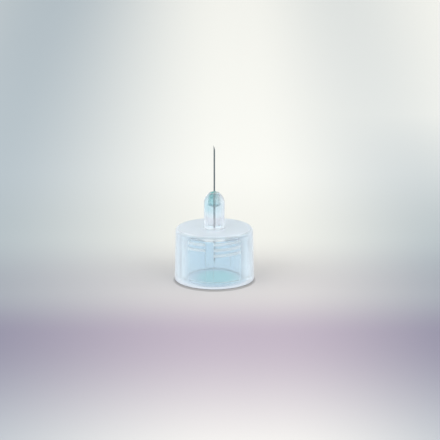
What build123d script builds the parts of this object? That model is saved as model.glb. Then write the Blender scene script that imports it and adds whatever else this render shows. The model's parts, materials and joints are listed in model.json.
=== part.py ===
from build123d import *
from math import cos, radians, sin, tan
import os

os.makedirs("parts", exist_ok=True)

# All sizes are in millimetres and all angles in degrees.
# The needle stands on the open end of its hub with the point up. The origin is the
# centre of the rim that it stands on, and +Z is the axis of the cannula.

# Socket that screws onto the pen: a mouth, then a bore whose upper part is threaded
thread_root_diameter = 9.6
thread_pitch = 0.95
thread_depth = 0.35
thread_crest_width = 0.15
thread_flank_angle = 27
thread_start_height = 5.31
thread_turns = 2.2
thread_embed = 0.1
groove_count = 5
groove_width = 1.25
groove_depth = 0.2
first_groove_angle = -98.5
mouth_step = 0.2
mouth_depth = 0.9
socket_depth = 7.7

# Outside of the hub: a drafted skirt, a flat crown and a nozzle with a blunt nose
rim_wall = 1.4
crown_thickness = 1.0
draft_angle = 1.3
foot_edge_radius = 0.2
shoulder_radius = 0.5
nozzle_diameter = 3.4
nozzle_height = 6.0
nozzle_nose_angle = 40
nozzle_nose_radius = 1.6
nozzle_base_radius = 0.2
nozzle_tip_wall = 0.12
nozzle_tip_radius = 0.08

# Boss under the crown that guides the rear of the cannula
boss_diameter = 2.4
boss_length = 1.1
boss_edge_radius = 0.2

# Cannula: a tube ground to a three-facet point at both ends
cannula_diameter = 0.25
lumen_diameter = 0.13
front_length = 8.0
rear_point_height = 2.5
bevel_angle = 17
lancet_angle = 28
lancet_turn = 40
bore_clearance = 0.02

# Well in the nozzle's tip, filled with adhesive around the cannula
well_diameter = 1.4
well_depth = 2.1
well_cone_depth = 0.25
adhesive_rise = 0.3
adhesive_sag = 0.08

root_radius = thread_root_diameter / 2
crest_radius = root_radius - thread_depth
groove_radius = root_radius + groove_depth
mouth_radius = groove_radius + mouth_step
foot_radius = mouth_radius + rim_wall
hub_height = socket_depth + crown_thickness
shoulder_edge = foot_radius - hub_height * tan(radians(draft_angle))

nozzle_radius = nozzle_diameter / 2
well_radius = well_diameter / 2
tip_radius = well_radius + nozzle_tip_wall
nozzle_top = hub_height + nozzle_height
nose_start = nozzle_top - (nozzle_radius - tip_radius) / tan(radians(nozzle_nose_angle))
well_floor = nozzle_top - well_depth
well_bottom = well_floor - well_cone_depth

cannula_radius = cannula_diameter / 2
lumen_radius = lumen_diameter / 2
bore_radius = cannula_radius + bore_clearance
boss_radius = boss_diameter / 2
boss_end = socket_depth - boss_length
front_point_height = nozzle_top + front_length


# Thread ridge: a trapezoid swept up a right-hand helix, its foot sunk in the bore's wall
ridge_foot_radius = root_radius + thread_embed
crest_half = thread_crest_width / 2
foot_half = crest_half + (thread_depth + thread_embed) * tan(radians(thread_flank_angle))

with BuildPart() as thread_ridge:
    with BuildLine() as thread_path:
        Helix(pitch=thread_pitch, height=thread_pitch * thread_turns, radius=root_radius)
    with BuildSketch(Plane.XZ):
        with BuildLine():
            Polyline(
                (ridge_foot_radius, -foot_half),
                (crest_radius, -crest_half),
                (crest_radius, crest_half),
                (ridge_foot_radius, foot_half),
                close=True,
            )
        make_face()
    sweep(path=thread_path.line, is_frenet=True)


# Hub: one moulding, turned about the cannula's axis; each corner is x, z, rounding
hub_corners = [
    (mouth_radius, 0, 0),
    (foot_radius, 0, foot_edge_radius),
    (shoulder_edge, hub_height, shoulder_radius),
    (nozzle_radius, hub_height, nozzle_base_radius),
    (nozzle_radius, nose_start, nozzle_nose_radius),
    (tip_radius, nozzle_top, nozzle_tip_radius),
    (well_radius, nozzle_top, 0),
    (well_radius, well_floor, 0),
    (bore_radius, well_bottom, 0),
    (bore_radius, boss_end, 0),
    (boss_radius, boss_end, boss_edge_radius),
    (boss_radius, socket_depth, 0),
    (root_radius, socket_depth, 0),
    (root_radius, mouth_depth, 0),
    (mouth_radius, mouth_depth, 0),
]

with BuildPart() as hub:
    with BuildSketch(Plane.XZ):
        with BuildLine():
            FilletPolyline(
                [(x, z) for x, z, rounding in hub_corners],
                radius=[rounding for x, z, rounding in hub_corners],
                close=True,
            )
        make_face()
    revolve(axis=Axis.Z)

    with Locations(Location((0, 0, thread_start_height), (0, 0, first_groove_angle))):
        add(thread_ridge.part)

    # Axial grooves that part the bore and its thread into lands
    with BuildSketch(Plane.XY.offset(mouth_depth)):
        with PolarLocations(crest_radius, groove_count, start_angle=first_groove_angle):
            Rectangle(2 * (groove_radius - crest_radius), groove_width)
        Circle(groove_radius, mode=Mode.INTERSECT)
    extrude(amount=socket_depth - mouth_depth, mode=Mode.SUBTRACT)

hub.part.label = "hub"
export_step(hub.part, "parts/hub.step")


# Cannula: the facets of each point are planes through the outermost spot of its tip
def point_facets(tip_height, tip_side, upward):
    tip = (tip_side * cannula_radius, 0, tip_height)
    for slope, turn in ((bevel_angle, 0), (lancet_angle, lancet_turn), (lancet_angle, -lancet_turn)):
        across = -tip_side * cos(radians(slope))
        facing = (across * cos(radians(turn)), across * sin(radians(turn)), upward * sin(radians(slope)))
        yield Plane(origin=tip, z_dir=facing)


with BuildPart() as cannula:
    with BuildSketch(Plane.XY.offset(rear_point_height)):
        Circle(cannula_radius)
        Circle(lumen_radius, mode=Mode.SUBTRACT)
    extrude(amount=front_point_height - rear_point_height)
    for facet in point_facets(front_point_height, tip_side=-1, upward=1):
        split(bisect_by=facet, keep=Keep.BOTTOM)
    for facet in point_facets(rear_point_height, tip_side=1, upward=-1):
        split(bisect_by=facet, keep=Keep.BOTTOM)

cannula.part.label = "cannula"
export_step(cannula.part, "parts/cannula.step")


# Adhesive: it fills the well face to face and climbs the cannula in a hollow curve
with BuildPart() as adhesive:
    with BuildSketch(Plane.XZ):
        with BuildLine():
            Polyline(
                (cannula_radius, nozzle_top + adhesive_rise),
                (cannula_radius, well_bottom),
                (bore_radius, well_bottom),
                (well_radius, well_floor),
                (well_radius, nozzle_top),
            )
            SagittaArc(
                (well_radius, nozzle_top),
                (cannula_radius, nozzle_top + adhesive_rise),
                adhesive_sag,
            )
        make_face()
    revolve(axis=Axis.Z)

adhesive.part.label = "adhesive"
export_step(adhesive.part, "parts/adhesive.step")
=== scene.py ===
"""A pen needle on a pale studio floor: its visible pieces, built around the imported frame."""

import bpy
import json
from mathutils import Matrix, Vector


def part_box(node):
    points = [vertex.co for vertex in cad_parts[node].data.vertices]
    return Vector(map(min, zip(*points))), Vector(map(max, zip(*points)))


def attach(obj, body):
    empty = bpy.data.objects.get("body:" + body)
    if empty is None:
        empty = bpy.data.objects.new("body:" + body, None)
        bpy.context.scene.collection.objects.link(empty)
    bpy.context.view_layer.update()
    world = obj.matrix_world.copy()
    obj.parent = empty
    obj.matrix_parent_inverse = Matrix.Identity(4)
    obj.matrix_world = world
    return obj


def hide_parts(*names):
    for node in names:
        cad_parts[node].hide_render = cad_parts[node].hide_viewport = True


bl_info = {
    "name": "Pen Needle",
    "version": (1, 0, 0),
    "blender": (4, 5, 0),
    "location": "View3D > Sidebar > Pen Needle",
    "description": "Builds a pen needle piece by piece, with a small studio around it",
    "category": "Add Mesh",
}

import json
import math

import bmesh
import bpy
from bpy.props import FloatProperty, FloatVectorProperty, IntProperty, PointerProperty
from mathutils import Matrix, Vector

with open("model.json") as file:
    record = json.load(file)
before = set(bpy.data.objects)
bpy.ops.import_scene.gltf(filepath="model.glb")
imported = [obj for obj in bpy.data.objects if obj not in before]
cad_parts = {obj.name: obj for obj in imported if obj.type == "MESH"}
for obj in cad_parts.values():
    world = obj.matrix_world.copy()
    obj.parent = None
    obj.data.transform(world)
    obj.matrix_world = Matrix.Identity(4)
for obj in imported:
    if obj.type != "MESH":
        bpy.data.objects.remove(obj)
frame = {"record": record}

# Meshes are built in millimetres, about the cannula's axis, and scaled to metres when finished
MM = 0.001
BODY = "root"

# How finely round shapes are divided, and the angle from which an edge is sharp
TURN_STEPS = 240
CORNER_SEGMENTS = 8
SHARP_ANGLE = math.radians(28)

# Vertices nearer than WELD are one. A face lies on a level if its middle is within NEAR of it,
# and on a round wall if it is within WALL_NEAR of that wall.
WELD = 0.0001
NEAR = 0.01
WALL_NEAR = 0.02

# How far the ridge's foot is sunk in the wall, and the width in lumen radii of a block that
# grinds one facet
THREAD_EMBED = 0.1
FACET_BLOCK = 40

# The hub's finishes, by their place in its list of materials
OUTSIDE, CROWN, INSIDE, THREADED, RIDGE, NOZZLE = range(6)

WHITE = (1, 1, 1)
PLASTIC_IOR = 1.49
GLUE_IOR = 1.5

# Most of a noise lies within NOISE_SPAN. It takes a finish's value up and down by WANDER, a share.
NOISE_SPAN = (0.3, 0.7)
WANDER = 0.1

# How milky the moulding's outline is, from its clearer flow marks to its milkier ones
OUTLINE_MILK = (0.8, 0.88)

# Tones of the floor from front to back, darker towards the camera and paler far behind: painted light
# falloff. Where it has painted side shade from left to right. Places are in millimetres from the part,
# and a shade is 1 where the painted side shade is full.
FLOOR_DEPTHS = (
    (-100, "far_tint"),
    (-30, "near_tint"),
    (-6, "under_tint"),
    (27, "behind_tint"),
    (75, "far_tint"),
)
PAINTED_SIDE_SHADES = ((-110, 0), (-44, 1), (3, 0), (8, 0), (44, 1), (110, 0))

# Rings on the floor around the part, in shares of the foot's radius: where the painted contact shadow
# fades, where the painted glow that plastic shows of the floor changes its tint, and where that glow's amount
# changes
PAINTED_SHADOW_FADE = (0.99, 1.05)
SEEN_RINGS = ((0.35, "inside_painted_light"), (0.75, "rim_painted_glow"), (1, "through_tint"))
GLOW_RINGS = (0.76, 0.86)

# Directions from the part to the two soft lights
KEY_SIDE = (-0.8, -0.6, 0.3)
FILL_SIDE = (0.75, -0.6, 0.3)

mounts = {mount["name"]: mount["dims"] for mount in frame["record"]["mounts"]}
socket_mouth = mounts["pen_socket"]
nozzle_barrel = mounts["shield_seat"]
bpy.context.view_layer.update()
hub_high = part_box("hub")[1]
cannula_low, cannula_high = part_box("cannula")
glue_low, glue_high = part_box("adhesive")


def length(name, description, millimetres):
    """A length that the sidebar shows; it is kept in metres."""
    return FloatProperty(
        name=name,
        description=description,
        default=millimetres * MM,
        min=0,
        precision=5,
        subtype="DISTANCE",
        unit="LENGTH",
    )


def angle(name, description, degrees):
    """An angle that the sidebar shows in degrees; it is kept in radians."""
    return FloatProperty(
        name=name,
        description=description,
        default=math.radians(degrees),
        subtype="ANGLE",
        unit="ROTATION",
    )


def fraction(name, description, value):
    """A share from 0 to 1 that the sidebar shows."""
    return FloatProperty(name=name, description=description, default=value, min=0, max=1, subtype="FACTOR")


def colour(name, description, value):
    """A colour that the sidebar shows, with linear red, green and blue."""
    return FloatVectorProperty(
        name=name,
        description=description,
        default=value,
        min=0,
        max=1,
        size=3,
        subtype="COLOR",
    )


class HubSettings(bpy.types.PropertyGroup):
    """Sizes and finish of the moulded hub"""

    mouth_radius: length("Mouth radius", "Plain mouth of the socket", socket_mouth["r_mm"])
    mouth_depth: length("Mouth depth", "Height of the plain mouth", socket_mouth["length_mm"])
    socket_depth: length("Socket depth", "From the rim to the socket's ceiling", 7.7)
    root_radius: length("Thread root", "Bore's wall, which is the thread's root", 4.8)
    thread_depth: length("Thread depth", "How far the ridge stands off the wall", 0.35)
    thread_pitch: length("Thread pitch", "Rise of the ridge in one turn", 0.95)
    thread_crest: length("Thread crest", "Flat width of the ridge's crest", 0.15)
    thread_flank: angle("Thread flank", "Slope of the ridge's flanks", 27)
    thread_start: length("Thread start", "Height of the ridge's first end", 5.31)
    thread_lands: IntProperty(
        name="Thread lands",
        description="How many lands between grooves the ridge crosses",
        default=11,
        min=1,
    )
    groove_count: IntProperty(name="Grooves", description="Axial grooves in the bore", default=5, min=2)
    groove_width: length("Groove width", "Width of each axial groove", 1.25)
    groove_depth: length("Groove depth", "How far a groove goes into the wall", 0.2)
    groove_turn: angle("First groove", "Where the first groove and the thread start", -98.5)
    crown_height: length("Crown height", "From the floor to the flat crown", 8.7)
    draft: angle("Draft", "Taper of the skirt", 1.3)
    foot_rounding: length("Foot rounding", "Outer edge of the rim", 0.2)
    shoulder_rounding: length("Shoulder rounding", "Outer edge of the crown", 0.5)
    edge_break: length("Edge break", "Fine rounding of the socket's edges", 0.06)
    nozzle_radius: length("Nozzle radius", "Straight part of the nozzle", nozzle_barrel["r_mm"])
    nozzle_root_rounding: length("Nozzle root", "Fillet where the nozzle meets the crown", 0.2)
    nose_slope: angle("Nose slope", "Taper of the blunt nose, from the axis", 40)
    nose_rounding: length("Nose rounding", "Rounding from the barrel to the nose", 1.6)
    tip_wall: length("Tip wall", "Flat lip around the glue well", 0.12)
    tip_rounding: length("Tip rounding", "Outer edge of the lip", 0.08)
    boss_radius: length("Boss radius", "Boss under the crown", 1.2)
    boss_length: length("Boss length", "How far the boss hangs from the ceiling", 1.1)
    boss_rounding: length("Boss rounding", "Lower edge of the boss", 0.2)
    tint: colour("Tint", "Colour of the plastic seen straight through", (0.81, 0.915, 0.985))
    # The nozzle is deeper teal at its upper left and paler to the right and lower down
    nozzle_deep_tint: colour("Nozzle's deep side", "Nozzle where the glue tints it", (0.53, 0.79, 0.85))
    nozzle_pale_tint: colour("Nozzle's pale side", "Nozzle away from the glue", (0.935, 0.95, 0.985))
    milky_tint: colour("Milky tint", "Plastic where it is thick or seen edge on", (0.85, 0.915, 0.99))
    # The ridges' near-white colour is scattering plastic and partly a painted highlight on the thread
    ridge_tint: colour("Ridge tint", "Thread's ridge in its deeper spots", (0.96, 0.98, 1))
    clearness: fraction("Clearness", "How much light goes straight through a thin wall", 0.87)
    milky_clearness: fraction("Milky clearness", "How much light goes through where it is milkiest", 0.05)
    crown_milk: fraction("Crown milk", "How milky the flat crown is", 0.63)
    wall_milk: fraction("Wall milk", "How milky the threaded wall is", 0.1)
    # The rim's milky band is milky plastic that also stands in for a bright line along the foot: partly a
    # painted highlight
    rim_milk_and_highlight: fraction("Rim milk", "How milky the skirt is in a band at its foot", 0.9)
    rim_band_rise: length("Rim band rise", "How far under its full height the rim's band starts", 0.02)
    rim_band_low: length("Rim band low", "Height where the rim's milky band is full", 0.1)
    rim_band_high: length("Rim band high", "Height where the rim's milky band starts to fade", 0.3)
    rim_band_fade: length("Rim band fade", "How far up the rim's milky band fades", 0.2)
    shoulder_milk: fraction("Shoulder milk", "How milky the skirt is under the crown", 0.3)
    shoulder_band: length("Shoulder band", "How far under the crown the skirt turns milky", 0.5)
    shoulder_full: length("Shoulder full", "How far under the crown it is milkiest", 0.1)
    nozzle_root_milk: fraction("Nozzle root milk", "How milky the nozzle is at its root", 0.4)
    nozzle_milk: fraction("Nozzle milk", "How milky the nozzle is above its root", 0.12)
    nozzle_tip_milk: fraction("Nozzle tip milk", "How milky the nozzle is at the glue", 0.03)
    nozzle_root_fade: length("Nozzle root fade", "How far up the nozzle's root turns clearer", 0.6)
    nozzle_tip_fade: length("Nozzle tip fade", "How far under its top the nozzle is clearest", 1.8)
    edge_start: fraction("Edge start", "How far from face on the wall starts to turn milky", 0.08)
    # The foot's wider milky outline also brightens the rim's corners: partly a painted highlight
    foot_edge: fraction("Foot edge", "How wide the foot's milky outline is", 0.93)
    foot_edge_top: length("Foot edge top", "Height where the foot's outline starts to narrow", 0.4)
    skirt_edge: fraction("Skirt edge", "How wide the skirt's milky outline is", 0.5)
    skirt_edge_low: length("Skirt edge low", "Height where the outline is as narrow as the skirt's", 1.2)
    shoulder_edge: fraction("Shoulder edge", "How wide the shoulder's milky outline is", 0.7)
    shoulder_edge_fade: length("Shoulder edge fade", "How far above the crown it narrows again", 0.1)


class CannulaSettings(bpy.types.PropertyGroup):
    """Sizes and finish of the steel tube"""

    lumen_radius: length("Lumen radius", "Inside of the tube", 0.065)
    clearance: length("Clearance", "Between the tube and its bore in the nozzle", 0.02)
    bevel: angle("Bevel", "Main ground facet, from the axis", 17)
    lancet: angle("Lancet", "Two side facets of a point, from the axis", 28)
    lancet_turn: angle("Lancet turn", "How far the side facets are turned", 40)
    # The steel's tint is darker than bare steel: painted shade standing in for the dark surroundings it
    # reflects
    tint: colour("Tint", "Colour of the drawn steel", (0.215, 0.265, 0.275))


class AdhesiveSettings(bpy.types.PropertyGroup):
    """Sizes and finish of the glue in the nozzle's tip"""

    cone_depth: length("Cone depth", "Cone under the well, down to the bore", 0.25)
    corner: length("Corner", "Rounding between the well's wall and its cone", 0.25)
    sag: length("Sag", "Hollow of the glue's free surface", 0.08)
    overlap: length("Overlap", "How far the glue reaches into what it wets", 0.005)
    # Deep tint is the glue's colour at the left, pale tint to the right; the turned glue is as thick on both
    # sides
    deep_tint: colour("Deep tint", "Colour of the glue on its thicker side", (0.18, 0.8, 0.77))
    pale_tint: colour("Pale tint", "Colour of the glue on its thinner side", (0.88, 0.97, 0.96))
    pale_from: fraction("Pale from", "How far to the right the glue starts to pale", 0.75)
    pale_over: fraction("Pale over", "How far on from there it is palest", 0.4)
    fade_from: length("Fade start", "Height above the well's bottom where the glue starts to pale", 1.6)
    fade_to: length("Fade end", "Height above the well's bottom where the glue is palest", 0.2)
    clearness: fraction("Clearness", "How much light goes through the glue at its top", 0.66)
    low_clearness: fraction("Low clearness", "How much light goes through the glue at its bottom", 0.97)


class StudioSettings(bpy.types.PropertyGroup):
    """Floor, light and camera"""

    view_distance: length("View distance", "From the camera to the part", 400)
    view_elevation: angle("View elevation", "How far the camera looks down", 15.5)
    view_width: length("View width", "What the picture takes in at the part", 72.49)
    aim_height: length("Aim height", "Height that the camera aims at", 10)
    aim_right: length("Aim right", "How far right of the axis the camera aims", 0.93)
    floor_reach: length("Floor reach", "Half the width of the floor", 4000)
    light_bounces: IntProperty(
        name="Light bounces",
        description="Walls that light may meet on its way through the clear plastic",
        default=24,
        min=1,
    )
    lamp_distance: length("Lamp distance", "From each soft light to the part", 600)
    lamp_size: length("Lamp size", "Width of each soft light", 800)
    key_level: fraction("Key level", "Light on a white face that looks at the left light", 0.46)
    fill_level: fraction("Fill level", "Light on a white face that looks at the right light", 0.36)
    world_level: fraction("World level", "Even light from all around", 0.82)
    # Floor tones from front to back, darker towards the camera and under the part: painted light falloff
    near_tint: colour("Near floor", "Floor close to the camera", (0.51, 0.445, 0.525))
    under_tint: colour("Floor at the part", "Floor under the part", (0.69, 0.665, 0.66))
    behind_tint: colour("Floor behind", "Floor a little behind the part", (0.855, 0.86, 0.805))
    far_tint: colour("Far floor", "Floor far behind the part", (0.925, 0.93, 0.88))
    # Painted side shade, and where painted light takes it away again at the far right and back
    painted_side_shade: colour("Side shade", "Share of the floor's tone that is left at the sides", (0.50, 0.57, 0.65))
    far_right_painted_light: length("Far right", "How far right and back the side shade is gone", 60)
    far_from: length("Far from", "How far back the side shade starts to go", 10)
    far_back: length("Far back", "How far back the side shade is gone", 120)
    # Painted contact shadow on the floor: the tone left where it is darkest, and how far it lies to the front
    painted_contact_shadow: fraction("Contact shade", "Tone that is left where the rim meets the floor", 0.6)
    painted_shadow_shift: length("Contact shift", "How far the contact shade lies to the front", 0.9)
    # What clear plastic shows of the floor is a painted glow: pale outside, teal painted light under the
    # socket
    through_tint: colour("Floor seen through", "Pale floor that glass shows", (0.85, 0.96, 1.0))
    inside_painted_light: colour("Floor inside", "Floor in the tinted light under the socket", (0.45, 0.9, 0.92))
    inside_right: length("Inside right", "How far right the tinted light lies", 0.6)
    inside_back: length("Inside back", "How far back the tinted light lies", 1.2)
    rim_painted_glow: colour("Floor near the rim", "Floor that the socket shows near its rim", (0.7, 0.85, 1.0))
    inside_glow: fraction("Inside glow", "How evenly lit the floor looks through the socket", 0.6)
    outside_glow: fraction("Outside glow", "How evenly lit it looks through the wall", 0.95)


SETTINGS = {
    "hub": HubSettings,
    "cannula": CannulaSettings,
    "adhesive": AdhesiveSettings,
    "studio": StudioSettings,
}


class InMillimetres:
    """A property group's values for mesh work: its lengths in millimetres, the rest as they are."""

    def __init__(self, group):
        for name, prop in group.bl_rna.properties.items():
            value = getattr(group, name)
            if getattr(prop, "unit", "") == "LENGTH":
                value /= MM
            setattr(self, name, value)


def read(context, group):
    """The values of one of this file's property groups."""
    return InMillimetres(getattr(context.scene, "pen_needle_" + group))


def turned(corners):
    """A ring turned about Z from its outline's corners, each x, z and rounding."""
    bm = bmesh.new()
    places = [Vector((x, 0, z)) for x, z, rounding in corners]
    verts = [bm.verts.new(place) for place in places]
    bm.faces.new(verts)
    for i, (x, z, rounding) in enumerate(corners):
        if rounding:
            after = places[(i + 1) % len(places)]
            turn = (places[i] - places[i - 1]).angle(after - places[i])
            bmesh.ops.bevel(
                bm,
                geom=[verts[i]],
                offset=rounding * math.tan(turn / 2),
                segments=CORNER_SEGMENTS,
                profile=0.5,
                affect="VERTICES",
                material=-1,
            )
    bmesh.ops.delete(bm, geom=bm.faces[:], context="FACES_ONLY")
    bmesh.ops.spin(
        bm,
        geom=bm.verts[:] + bm.edges[:],
        axis=(0, 0, 1),
        angle=math.tau,
        steps=TURN_STEPS,
        use_merge=True,
    )
    bmesh.ops.recalc_face_normals(bm, faces=bm.faces[:])
    return bm


def combined(body, tool, operation):
    """Joins the closed bmesh body with tool, or cuts it by tool, and returns the result."""
    pair = []
    for bm in (body, tool):
        mesh = bpy.data.meshes.new("working")
        bm.to_mesh(mesh)
        bm.free()
        pair.append(bpy.data.objects.new("working", mesh))
        bpy.context.collection.objects.link(pair[-1])
    modifier = pair[0].modifiers.new("Combine", "BOOLEAN")
    modifier.object = pair[1]
    modifier.operation = operation
    modifier.solver = "MANIFOLD"
    result = bmesh.new()
    result.from_object(pair[0], bpy.context.evaluated_depsgraph_get())
    for working in pair:
        bpy.data.meshes.remove(working.data)
    if not result.faces:
        raise RuntimeError("the solids couldn't be combined")
    return result


def finish_piece(name, bm, materials, node):
    """Makes bm a smooth piece of the scene that rides with the frame and stands for its node."""
    bmesh.ops.remove_doubles(bm, verts=bm.verts[:], dist=WELD)
    bmesh.ops.scale(bm, vec=(MM, MM, MM), verts=bm.verts[:])
    mesh = bpy.data.meshes.new(name)
    for face in bm.faces:
        face.smooth = True
    bm.to_mesh(mesh)
    bm.free()
    mesh.set_sharp_from_angle(angle=SHARP_ANGLE)
    for material in materials:
        mesh.materials.append(material)
    piece = bpy.data.objects.new(name, mesh)
    bpy.context.collection.objects.link(piece)
    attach(piece, BODY)
    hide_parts(node)


class Shading:
    """A material's node tree, with its surface shader ready to be set."""

    def __init__(self, name):
        self.material = bpy.data.materials.new(name)
        self.material.use_nodes = True
        self.tree = self.material.node_tree
        self.surface = self.tree.nodes["Principled BSDF"]

    def add(self, kind, inputs=None, **settings):
        """Adds a node, sets it, and links or sets its inputs."""
        node = self.tree.nodes.new("ShaderNode" + kind)
        for key, value in settings.items():
            setattr(node, key, value)
        for key, value in (inputs or {}).items():
            self.feed(node, key, value)
        return node

    def feed(self, node, key, value):
        """Links an output to an input, or sets the input."""
        if isinstance(value, bpy.types.NodeSocket):
            self.tree.links.new(value, node.inputs[key])
        else:
            node.inputs[key].default_value = value

    def finish(self, **values):
        """Links or sets inputs of the surface shader, each named as there but with underscores."""
        for key, value in values.items():
            self.feed(self.surface, key.replace("_", " "), value)

    def place(self, stretch=(1, 1, 1)):
        """Where a point of the piece is, stretched along the axes."""
        where = self.add("TexCoord").outputs["Object"]
        return self.add("Mapping", {"Vector": where, "Scale": stretch}).outputs["Vector"]

    def along(self, axis):
        """Where a point of the piece is on one axis, in metres."""
        return self.add("SeparateXYZ", {"Vector": self.place()}).outputs[axis]

    def distance(self, centre=(0, 0, 0)):
        """How far a point of the piece lies from a centre, in metres."""
        inputs = {0: self.place(), 1: centre}
        return self.add("VectorMath", inputs, operation="DISTANCE").outputs["Value"]

    def noise(self, size, stretch=(1, 1, 1), detail=3):
        """Noise whose grain is about size millimetres wide."""
        inputs = {"Vector": self.place(stretch), "Scale": 1 / (size * MM), "Detail": detail}
        return self.add("TexNoise", inputs).outputs["Fac"]

    def fit(self, value, low, high, to_low=0, to_high=1):
        """Takes value from one range to another, and stays inside that one."""
        inputs = {"Value": value, "From Min": low, "From Max": high, "To Min": to_low, "To Max": to_high}
        return self.add("MapRange", inputs).outputs["Result"]

    def across(self, axis, low, high):
        """How far a point lies between two places on an axis, from 0 to 1."""
        return self.fit(self.along(axis), low, high)

    def spread(self, noise, low, high):
        """Spreads noise over the range from low to high."""
        return self.fit(noise, *NOISE_SPAN, low, high)

    def wander(self, noise, value):
        """Lets noise take a value a little up and down."""
        return self.spread(noise, (1 - WANDER) * value, (1 + WANDER) * value)

    def calculate(self, operation, first, second, clamp=False):
        """Works out a number from two others."""
        node = self.add("Math", {0: first, 1: second}, operation=operation, use_clamp=clamp)
        return node.outputs["Value"]

    def mix(self, factor, first, second, how="MIX"):
        """Mixes or multiplies two colours, each a tint or a socket."""
        inputs = {"Fac": factor}
        for key, paint in (("Color1", first), ("Color2", second)):
            inputs[key] = paint if isinstance(paint, bpy.types.NodeSocket) else (*paint, 1)
        return self.add("MixRGB", inputs, blend_type=how).outputs["Color"]

    def ramp(self, value, stops, curve="LINEAR"):
        """Colours that follow value along a curve; each stop is a value and its colour."""
        low, high = stops[0][0], stops[-1][0]
        node = self.add("ValToRGB", {"Fac": self.fit(value, low, high)})
        elements = node.color_ramp.elements
        while len(elements) < len(stops):
            elements.new(0.5)
        for element, (at, paint) in zip(elements, stops):
            element.position = (at - low) / (high - low)
            element.color = (*paint, 1)
        node.color_ramp.interpolation = curve
        return node.outputs["Color"]

    def bump(self, height, depth):
        """Raises the surface by height times depth, in millimetres."""
        inputs = {"Height": height, "Distance": depth * MM, "Strength": 1}
        self.finish(Normal=self.add("Bump", inputs).outputs["Normal"])


def grey_stops(*levels):
    """Stops of a ramp by height, from pairs of a height in millimetres and a level."""
    return [(height * MM, (level, level, level)) for height, level in levels]


def skirt_levels(hub):
    """How milky the skirt's outer side is at each height: in a band at the rim, which is milky plastic and
    partly a painted highlight along the foot, and at the shoulder.
    """
    return grey_stops(
        (hub.rim_band_low - hub.rim_band_rise, 0),
        (hub.rim_band_low, hub.rim_milk_and_highlight),
        (hub.rim_band_high, hub.rim_milk_and_highlight),
        (hub.rim_band_high + hub.rim_band_fade, 0),
        (hub.crown_height - hub.shoulder_band, 0),
        (hub.crown_height - hub.shoulder_full, hub.shoulder_milk),
    )


def nozzle_levels(hub):
    """How milky the nozzle is at each height: most at its root."""
    return grey_stops(
        (hub.crown_height, hub.nozzle_root_milk),
        (hub.crown_height + hub.nozzle_root_fade, hub.nozzle_milk),
        (hub_high.z / MM - hub.nozzle_tip_fade, hub.nozzle_tip_milk),
    )


def outline_levels(hub):
    """How wide the milky outline is at each height: most at the foot, then at the shoulder."""
    return grey_stops(
        (hub.foot_edge_top, hub.foot_edge),
        (hub.skirt_edge_low, hub.skirt_edge),
        (hub.socket_depth, hub.skirt_edge),
        (hub.crown_height, hub.shoulder_edge),
        (hub.crown_height + hub.shoulder_edge_fade, hub.skirt_edge),
    )


def outer_milk(shading, hub, flow, levels):
    """How milky the outer side is: by height and towards its outline, and not from within."""
    outline = shading.ramp(shading.along("Z"), outline_levels(hub))
    edge = shading.add("LayerWeight", {"Blend": outline}).outputs["Facing"]
    edge = shading.fit(edge, hub.edge_start, 1, 0, shading.spread(flow, *OUTLINE_MILK))
    milky = shading.calculate("MAXIMUM", edge, shading.ramp(shading.along("Z"), levels))
    from_within = shading.add("NewGeometry").outputs["Backfacing"]
    return shading.calculate("SUBTRACT", milky, from_within, clamp=True)


def nozzle_tint(shading, hub):
    """The nozzle's colour: deeper teal at the upper left, above the glue's lowest point, and paler to the
    right and further down.
    """
    radius = hub.nozzle_radius * MM
    rightward = shading.across("X", -radius, radius)
    downward = shading.across("Z", glue_low.z, glue_low.z - radius)
    pale = shading.calculate("MAXIMUM", rightward, downward)
    return shading.mix(pale, hub.nozzle_deep_tint, hub.nozzle_pale_tint)


def moulded_plastic(name, hub, gloss, grain, milk=0, levels=None, nozzle=False):
    """Translucent moulding with faint flow marks, as milky as milk or, outside, as levels by height."""
    shading = Shading(name)
    flow = shading.noise(2.5, stretch=(1, 1, 0.35))
    milky = outer_milk(shading, hub, flow, levels) if levels else shading.wander(flow, milk)
    clear_tint = nozzle_tint(shading, hub) if nozzle else hub.tint
    shading.finish(
        Base_Color=shading.mix(milky, clear_tint, hub.milky_tint),
        Transmission_Weight=shading.fit(milky, 0, 1, hub.clearness, hub.milky_clearness),
        Roughness=shading.wander(shading.noise(0.6), gloss),
        IOR=PLASTIC_IOR,
    )
    shading.bump(shading.noise(0.12), grain)
    return shading.material


def white_plastic_with_painted_glints(name, hub, clear):
    """The same moulding, white where fine steps scatter the light; on the thread's ridges this whiteness also
    stands in for glints, a painted highlight.
    """
    shading = Shading(name)
    clouds = shading.noise(0.5)
    shading.finish(
        Base_Color=shading.mix(clouds, hub.ridge_tint, WHITE),
        Transmission_Weight=clear,
        Roughness=shading.spread(shading.noise(0.3), 0.5, 0.6),
        Specular_IOR_Level=0.1,
        IOR=PLASTIC_IOR,
    )
    shading.bump(clouds, 0.003)
    return shading.material


def steel(name, tint, darkest, lightest, roughness, grain, stretch, depth):
    """Bare steel with fine lines, in tones between two shares of its tint."""
    shading = Shading(name)
    lines = shading.noise(grain, stretch)
    tones = [[min(1, channel * tone) for channel in tint] for tone in (darkest, lightest)]
    shading.finish(
        Base_Color=shading.mix(lines, *tones),
        Metallic=1,
        Roughness=shading.spread(lines, *roughness),
    )
    shading.bump(lines, depth)
    return shading.material


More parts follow.
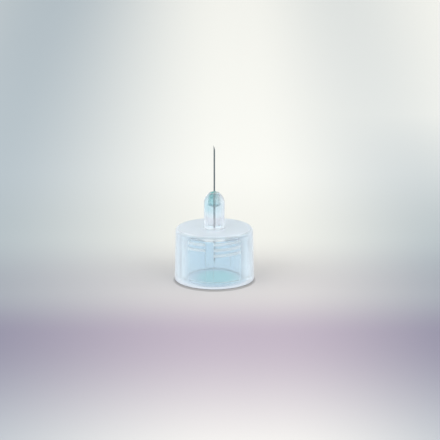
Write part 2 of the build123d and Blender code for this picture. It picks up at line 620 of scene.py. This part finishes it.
def cured_glue(glue):
    """Clear teal glue, deepest in colour at the left and near its top, paler to the right and lower down."""
    shading = Shading("cured_glue")
    clouds = shading.noise(0.35)
    rightward = shading.calculate("ADD", shading.across("X", glue_low.x, glue_high.x), clouds)
    # Paler towards the right, with clouds
    thin = shading.fit(rightward, glue.pale_from, glue.pale_from + glue.pale_over)
    downward = shading.across("Z", glue_low.z + glue.fade_from * MM, glue_low.z + glue.fade_to * MM)
    pale = shading.calculate("MAXIMUM", thin, downward)
    shading.finish(
        Base_Color=shading.mix(pale, glue.deep_tint, glue.pale_tint),
        Roughness=shading.spread(shading.noise(0.2), 0.03, 0.08),
        Transmission_Weight=shading.fit(downward, 0, 1, glue.clearness, glue.low_clearness),
        IOR=GLUE_IOR,
    )
    shading.bump(clouds, 0.004)
    return shading.material


def hub_outline(hub, cannula, glue):
    """Corners of the hub's section, each x, z and rounding."""
    foot_radius = hub_high.x / MM + hub.foot_rounding * math.tan(hub.draft)
    crown_radius = foot_radius - hub.crown_height * math.tan(hub.draft)
    nozzle_top = hub_high.z / MM
    well_radius = glue_high.x / MM
    well_bottom = glue_low.z / MM
    tip_radius = well_radius + hub.tip_wall
    nose_start = nozzle_top - (hub.nozzle_radius - tip_radius) / math.tan(hub.nose_slope)
    bore_radius = cannula_high.x / MM + cannula.clearance
    boss_end = hub.socket_depth - hub.boss_length
    return [
        (hub.mouth_radius, 0, hub.edge_break),
        (foot_radius, 0, hub.foot_rounding),
        (crown_radius, hub.crown_height, hub.shoulder_rounding),
        (hub.nozzle_radius, hub.crown_height, hub.nozzle_root_rounding),
        (hub.nozzle_radius, nose_start, hub.nose_rounding),
        (tip_radius, nozzle_top, hub.tip_rounding),
        (well_radius, nozzle_top, 0),
        (well_radius, well_bottom + glue.cone_depth, glue.corner),
        (bore_radius, well_bottom, 0),
        (bore_radius, boss_end, 0),
        (hub.boss_radius, boss_end, hub.boss_rounding),
        (hub.boss_radius, hub.socket_depth, hub.edge_break),
        (hub.root_radius, hub.socket_depth, 0),
        (hub.root_radius, hub.mouth_depth, 0),
        (hub.mouth_radius, hub.mouth_depth, hub.edge_break),
    ]


def thread_ridge(hub):
    """The thread's ridge: a trapezoid spun up a right-hand helix, with its foot in the wall."""
    crest = hub.thread_crest / 2
    foot = crest + (hub.thread_depth + THREAD_EMBED) * math.tan(hub.thread_flank)
    inner = hub.root_radius - hub.thread_depth
    outer = hub.root_radius + THREAD_EMBED
    bm = bmesh.new()
    corners = ((outer, -foot), (inner, -crest), (inner, crest), (outer, foot))
    section = bm.faces.new([bm.verts.new((x, 0, z)) for x, z in corners])
    turns = hub.thread_lands / hub.groove_count
    steps = round(TURN_STEPS * turns)
    bmesh.ops.spin(
        bm,
        geom=[section, *section.edges, *section.verts],
        axis=(0, 0, 1),
        angle=math.tau * turns,
        dvec=(0, 0, hub.thread_pitch * turns / steps),
        steps=steps,
    )
    bmesh.ops.recalc_face_normals(bm, faces=bm.faces[:])
    start = Matrix.Translation((0, 0, hub.thread_start)) @ Matrix.Rotation(hub.groove_turn, 4, "Z")
    bmesh.ops.transform(bm, matrix=start, verts=bm.verts[:])
    return bm


def groove_bars(hub):
    """The bars that cut the axial grooves: slices of a round core, from the mouth to the ceiling."""
    inner = hub.root_radius - 2 * hub.thread_depth
    start = hub.mouth_depth - hub.edge_break
    height = hub.socket_depth - start
    bm = bmesh.new()
    bmesh.ops.create_cone(
        bm,
        cap_ends=True,
        segments=TURN_STEPS,
        radius1=hub.root_radius + hub.groove_depth,
        radius2=hub.root_radius + hub.groove_depth,
        depth=height,
        matrix=Matrix.Translation((0, 0, start + height / 2)),
    )
    half = hub.groove_width / 2
    for place, facing in (
        ((0, half, 0), (0, 1, 0)),
        ((0, -half, 0), (0, -1, 0)),
        ((inner, 0, 0), (-1, 0, 0)),
    ):
        cut = bmesh.ops.bisect_plane(
            bm,
            geom=bm.verts[:] + bm.edges[:] + bm.faces[:],
            plane_co=place,
            plane_no=facing,
            clear_outer=True,
        )
        edges = [item for item in cut["geom_cut"] if isinstance(item, bmesh.types.BMEdge)]
        bmesh.ops.contextual_create(bm, geom=edges)
    bmesh.ops.rotate(bm, matrix=Matrix.Rotation(hub.groove_turn, 3, "Z"), verts=bm.verts[:])
    bmesh.ops.spin(
        bm,
        geom=bm.verts[:] + bm.edges[:] + bm.faces[:],
        axis=(0, 0, 1),
        angle=math.tau * (hub.groove_count - 1) / hub.groove_count,
        steps=hub.groove_count - 1,
        use_duplicate=True,
    )
    bmesh.ops.recalc_face_normals(bm, faces=bm.faces[:])
    return bm


def hub_finish(hub, spot):
    """Which of the hub's finishes the face around a spot has."""
    reach = spot.xy.length
    if abs(spot.z - hub.crown_height) < NEAR and reach > hub.nozzle_radius:
        return CROWN
    if spot.z < NEAR and reach < hub_high.x / MM - hub.foot_rounding:
        return INSIDE
    if spot.z > hub.crown_height + NEAR:
        return NOZZLE
    if spot.z > hub.socket_depth + NEAR or reach > hub.mouth_radius + hub.edge_break:
        return OUTSIDE
    if reach < 2 * hub.boss_radius or abs(spot.z - hub.socket_depth) < NEAR or spot.z < hub.mouth_depth:
        return INSIDE
    if reach < hub.root_radius - WALL_NEAR:
        return RIDGE
    if reach > hub.root_radius + WALL_NEAR or spot.z < hub.thread_start - hub.thread_pitch / 2:
        return INSIDE
    return THREADED


class PENNEEDLE_OT_hub(bpy.types.Operator):
    """Moulds the hub: skirt, threaded socket, crown and nozzle"""

    bl_idname = "pen_needle.hub"
    bl_label = "Hub"

    def execute(self, context):
        hub = read(context, "hub")
        body = turned(hub_outline(hub, read(context, "cannula"), read(context, "adhesive")))
        body = combined(body, thread_ridge(hub), "UNION")
        body = combined(body, groove_bars(hub), "DIFFERENCE")
        for face in body.faces:
            face.material_index = hub_finish(hub, face.calc_center_median())
        finishes = {
            OUTSIDE: moulded_plastic("polished_outside", hub, 0.1, 0.002, levels=skirt_levels(hub)),
            CROWN: moulded_plastic("frosted_crown", hub, 0.4, 0.006, milk=hub.crown_milk),
            INSIDE: moulded_plastic("polished_inside", hub, 0.1, 0.002),
            THREADED: moulded_plastic("threaded_wall", hub, 0.2, 0.004, milk=hub.wall_milk),
            RIDGE: white_plastic_with_painted_glints("thread_ridge", hub, clear=0.05),
            NOZZLE: moulded_plastic(
                "polished_nozzle", hub, 0.1, 0.002, levels=nozzle_levels(hub), nozzle=True
            ),
        }
        materials = [finishes[place] for place in sorted(finishes)]
        finish_piece("hub_moulding", body, materials, "hub")
        return {"FINISHED"}


def facet_block(cannula, tip, side, upward, slope, turn):
    """A block whose lower face is one ground facet of a point, through the outermost spot of its tip."""
    across = -side * math.cos(slope)
    facing = Vector((across * math.cos(turn), across * math.sin(turn), upward * math.sin(slope)))
    size = FACET_BLOCK * cannula.lumen_radius
    bm = bmesh.new()
    bmesh.ops.create_cube(bm, size=size, matrix=Matrix.Translation((0, 0, size / 2)))
    bmesh.ops.rotate(bm, matrix=facing.to_track_quat("Z", "Y").to_matrix(), verts=bm.verts[:])
    bmesh.ops.translate(bm, vec=(side * cannula_high.x / MM, 0, tip), verts=bm.verts[:])
    return bm


class PENNEEDLE_OT_cannula(bpy.types.Operator):
    """Draws the steel tube and grinds a three-facet point at both ends"""

    bl_idname = "pen_needle.cannula"
    bl_label = "Cannula"

    def execute(self, context):
        cannula = read(context, "cannula")
        radius = cannula_high.x / MM
        bottom, top = cannula_low.z / MM, cannula_high.z / MM
        ends = ((cannula.lumen_radius, bottom), (radius, bottom), (radius, top), (cannula.lumen_radius, top))
        tube = turned([(x, z, 0) for x, z in ends])
        for tip, side, upward in ((top, -1, 1), (bottom, 1, -1)):
            for slope, turn in (
                (cannula.bevel, 0),
                (cannula.lancet, cannula.lancet_turn),
                (cannula.lancet, -cannula.lancet_turn),
            ):
                block = facet_block(cannula, tip, side, upward, slope, turn)
                tube = combined(tube, block, "DIFFERENCE")
        for face in tube.faces:
            on_facet = abs(face.normal.z) > math.sin(cannula.bevel) / 2
            face.material_index = int(on_facet)
        drawn = steel(
            "drawn_steel",
            cannula.tint,
            darkest=0.92,
            lightest=1.08,
            roughness=(0.16, 0.3),
            grain=0.02,
            stretch=(1, 1, 0.02),
            depth=0.0008,
        )
        ground = steel(
            "ground_steel",
            cannula.tint,
            darkest=1.15,
            lightest=1.35,
            roughness=(0.2, 0.32),
            grain=0.012,
            stretch=(0.1, 1, 1),
            depth=0.0006,
        )
        finish_piece("cannula_tube", tube, [drawn, ground], "cannula")
        return {"FINISHED"}


class PENNEEDLE_OT_adhesive(bpy.types.Operator):
    """Fills the well in the nozzle's tip with glue, up to a hollow ring around the tube"""

    bl_idname = "pen_needle.adhesive"
    bl_label = "Adhesive"

    def execute(self, context):
        glue = read(context, "adhesive")
        nozzle_top = hub_high.z / MM
        well_radius = glue_high.x / MM
        well_bottom, glue_top = glue_low.z / MM, glue_high.z / MM
        inner = cannula_high.x / MM - glue.overlap
        bore = cannula_high.x / MM + read(context, "cannula").clearance
        outer = well_radius + glue.overlap
        corners = [
            (inner, well_bottom, 0),
            (bore + glue.overlap, well_bottom, 0),
            (outer, well_bottom + glue.cone_depth, glue.corner),
            (outer, nozzle_top - glue.overlap, 0),
            (well_radius, nozzle_top, 0),
        ]
        chord = Vector((inner - well_radius, glue_top - nozzle_top))
        hollow = Vector((-chord.y, chord.x)).normalized()
        for step in range(1, CORNER_SEGMENTS):
            way = step / CORNER_SEGMENTS
            spot = Vector((well_radius, nozzle_top)) + chord * way
            spot += hollow * glue.sag * 4 * way * (1 - way)
            corners.append((spot.x, spot.y, 0))
        corners.append((inner, glue_top, 0))
        finish_piece("glue_fill", turned(corners), [cured_glue(glue)], "adhesive")
        return {"FINISHED"}


def floor_painted_falloff(shading, studio):
    """The floor's painted light falloff from front to back, with a painted side shade that painted light
    takes away at the far right.
    """
    depths = [(place * MM, getattr(studio, tint)) for place, tint in FLOOR_DEPTHS]
    sides = [(place * MM, studio.painted_side_shade if shaded else WHITE) for place, shaded in PAINTED_SIDE_SHADES]
    far_right_painted_light = shading.calculate(
        "MULTIPLY",
        shading.across("X", 0, studio.far_right_painted_light),
        shading.across("Y", studio.far_from, studio.far_back),
    )
    shade = shading.mix(far_right_painted_light, shading.ramp(shading.along("X"), sides, "EASE"), WHITE)
    return shading.mix(1, shading.ramp(shading.along("Y"), depths, "EASE"), shade, "MULTIPLY")


def painted_contact_shadow(shading, studio):
    """A painted contact shadow: a thin dark line on the floor around the rim, shifted to the front."""
    dark = (studio.painted_contact_shadow,) * 3
    dark_to, white_from = (ring * hub_high.x for ring in PAINTED_SHADOW_FADE)
    reach = shading.distance((0, -studio.painted_shadow_shift, 0))
    return shading.ramp(reach, ((dark_to, dark), (white_from, WHITE)))


def painted_glow_seen_through(shading, studio):
    """A painted glow that clear plastic shows of the floor, pale outside and teal painted light under the
    socket, and how much of it is shown in place of the lit floor.
    """
    stops = [(ring * hub_high.x, getattr(studio, tint)) for ring, tint in SEEN_RINGS]
    tinted = shading.distance((studio.inside_right, studio.inside_back, 0))
    seen = shading.add("Emission", {"Color": shading.ramp(tinted, stops)}).outputs["Emission"]
    inside, outside = (ring * hub_high.x for ring in GLOW_RINGS)
    glow = shading.fit(shading.distance(), inside, outside, studio.inside_glow, studio.outside_glow)
    through = shading.add("LightPath").outputs["Is Transmission Ray"]
    return seen, shading.calculate("MULTIPLY", through, glow)


def floor_paint(studio):
    """Pale floor whose tone changes slowly from front to back and towards the sides as painted light falloff
    and side shade, with a painted contact shadow and a painted glow that clear plastic shows.
    """
    shading = Shading("studio_floor")
    # The floor's tone, darkened by the painted contact shadow around the rim
    tone = shading.mix(1, floor_painted_falloff(shading, studio), painted_contact_shadow(shading, studio), "MULTIPLY")
    shading.finish(Base_Color=tone, Roughness=0.9, Specular_IOR_Level=0.1)
    seen, amount = painted_glow_seen_through(shading, studio)
    # Rays through the plastic see the painted glow in place of part of the lit floor
    inputs = {0: amount, 1: shading.surface.outputs["BSDF"], 2: seen}
    both = shading.add("MixShader", inputs).outputs["Shader"]
    shading.feed(shading.tree.nodes["Material Output"], "Surface", both)
    return shading.material


def studio_world(studio):
    """Even white light, and the pale far floor for what the camera, metal and glass see."""
    world = bpy.data.worlds.new("studio_world")
    world.use_nodes = True
    tree = world.node_tree
    light = tree.nodes["Background"]
    light.inputs["Color"].default_value = (*WHITE, 1)
    light.inputs["Strength"].default_value = studio.world_level
    seen = tree.nodes.new("ShaderNodeBackground")
    seen.inputs["Color"].default_value = (*studio.far_tint, 1)
    path = tree.nodes.new("ShaderNodeLightPath")
    sees = path.outputs["Is Camera Ray"]
    for kind in ("Is Glossy Ray", "Is Transmission Ray"):
        either = tree.nodes.new("ShaderNodeMath")
        either.operation = "MAXIMUM"
        tree.links.new(sees, either.inputs[0])
        tree.links.new(path.outputs[kind], either.inputs[1])
        sees = either.outputs["Value"]
    mixed = tree.nodes.new("ShaderNodeMixShader")
    tree.links.new(sees, mixed.inputs["Fac"])
    tree.links.new(light.outputs["Background"], mixed.inputs[1])
    tree.links.new(seen.outputs["Background"], mixed.inputs[2])
    tree.links.new(mixed.outputs["Shader"], tree.nodes["World Output"].inputs["Surface"])
    return world


def soft_lamp(studio, name, side, level):
    """A round soft light that gives a white face towards it about level of full white."""
    light = bpy.data.lights.new(name, "AREA")
    light.shape = "DISK"
    light.size = studio.lamp_size
    reach = Vector((studio.lamp_distance, studio.lamp_size / 2)).length
    light.energy = level * (math.pi * reach) ** 2
    lamp = bpy.data.objects.new(name, light)
    towards = Vector(side).normalized()
    lamp.location = towards * studio.lamp_distance
    lamp.rotation_euler = towards.to_track_quat("Z", "Y").to_euler()
    return lamp


def studio_camera(studio):
    """The camera: in front of the part, and looking down on it."""
    lens = bpy.data.cameras.new("studio_camera")
    lens.lens = lens.sensor_width * studio.view_distance / studio.view_width
    lens.clip_start = studio.view_distance / 100
    lens.clip_end = studio.floor_reach * 2
    camera = bpy.data.objects.new("studio_camera", lens)
    aim = Vector((studio.aim_right, 0, studio.aim_height))
    tilt = studio.view_elevation
    away = Vector((0, -math.cos(tilt), math.sin(tilt)))
    camera.location = aim + away * studio.view_distance
    camera.rotation_euler = (math.pi / 2 - tilt, 0, 0)
    return camera


class PENNEEDLE_OT_studio(bpy.types.Operator):
    """Lays the pale floor and sets the soft light and the camera"""

    bl_idname = "pen_needle.studio"
    bl_label = "Studio"

    def execute(self, context):
        scene = context.scene
        studio = scene.pen_needle_studio
        scene.view_settings.view_transform = "Standard"
        scene.unit_settings.length_unit = "MILLIMETERS"
        scene.world = studio_world(studio)
        scene.cycles.max_bounces = studio.light_bounces
        scene.cycles.diffuse_bounces = studio.light_bounces
        scene.cycles.glossy_bounces = studio.light_bounces
        scene.cycles.transmission_bounces = studio.light_bounces

        bm = bmesh.new()
        bmesh.ops.create_grid(bm, x_segments=1, y_segments=1, size=studio.floor_reach)
        mesh = bpy.data.meshes.new("studio_floor")
        bm.to_mesh(mesh)
        bm.free()
        mesh.materials.append(floor_paint(studio))
        floor = bpy.data.objects.new("studio_floor", mesh)
        context.collection.objects.link(floor)

        key = soft_lamp(studio, "soft_key", KEY_SIDE, studio.key_level)
        fill = soft_lamp(studio, "soft_fill", FILL_SIDE, studio.fill_level)
        camera = studio_camera(studio)
        for thing in (key, fill, camera):
            context.collection.objects.link(thing)
        scene.camera = camera
        return {"FINISHED"}


class PENNEEDLE_PT_panel(bpy.types.Panel):
    """Lists the needle's pieces and their sizes"""

    bl_idname = "PENNEEDLE_PT_panel"
    bl_label = "Pen Needle"
    bl_space_type = "VIEW_3D"
    bl_region_type = "UI"
    bl_category = "Pen Needle"

    def draw(self, context):
        for group in SETTINGS:
            box = self.layout.box()
            box.operator("pen_needle." + group)
            settings = getattr(context.scene, "pen_needle_" + group)
            for name in settings.__annotations__:
                box.prop(settings, name)


CLASSES = (
    *SETTINGS.values(),
    PENNEEDLE_OT_studio,
    PENNEEDLE_OT_hub,
    PENNEEDLE_OT_cannula,
    PENNEEDLE_OT_adhesive,
    PENNEEDLE_PT_panel,
)


def register():
    for cls in CLASSES:
        bpy.utils.register_class(cls)
    for group, settings in SETTINGS.items():
        setattr(bpy.types.Scene, "pen_needle_" + group, PointerProperty(type=settings))


def unregister():
    for group in SETTINGS:
        delattr(bpy.types.Scene, "pen_needle_" + group)
    for cls in reversed(CLASSES):
        bpy.utils.unregister_class(cls)


def main():
    register()
    for group in ("studio", "hub", "cannula", "adhesive"):
        getattr(bpy.ops.pen_needle, group)()


if __name__ == "__main__":
    main()
